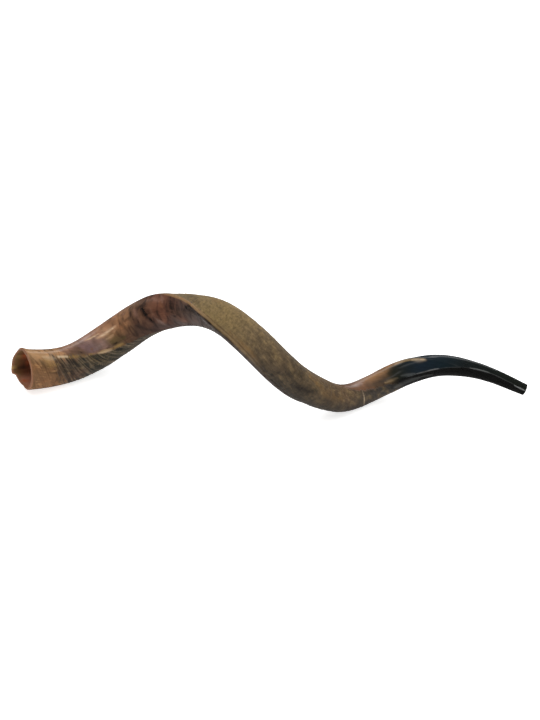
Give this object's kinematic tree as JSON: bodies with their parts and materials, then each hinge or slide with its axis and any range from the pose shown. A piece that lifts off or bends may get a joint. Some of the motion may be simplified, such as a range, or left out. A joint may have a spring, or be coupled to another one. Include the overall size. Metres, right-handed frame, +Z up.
{
  "type": "yemenite shofar",
  "caption": "Long spiral kudu-horn wind instrument, hollow from a wide bell to a cut mouthpiece, half polished and half natural horn.",
  "frame": {"origin": "bottom centre of the bounding box, on the surface the horn lies on", "axes": "+X along the horn's length from the bell to the mouthpiece, +Z up from the surface it rests on; the picture looks towards +Y"},
  "size_m": [0.908, 0.2652, 0.1973],
  "materials": {
    "horn": "horn, polished to a gloss on one face and at the tip, natural and matt on the other"
  },
  "bodies": {
    "root": {"horn": "horn"}
  },
  "joints": []
}
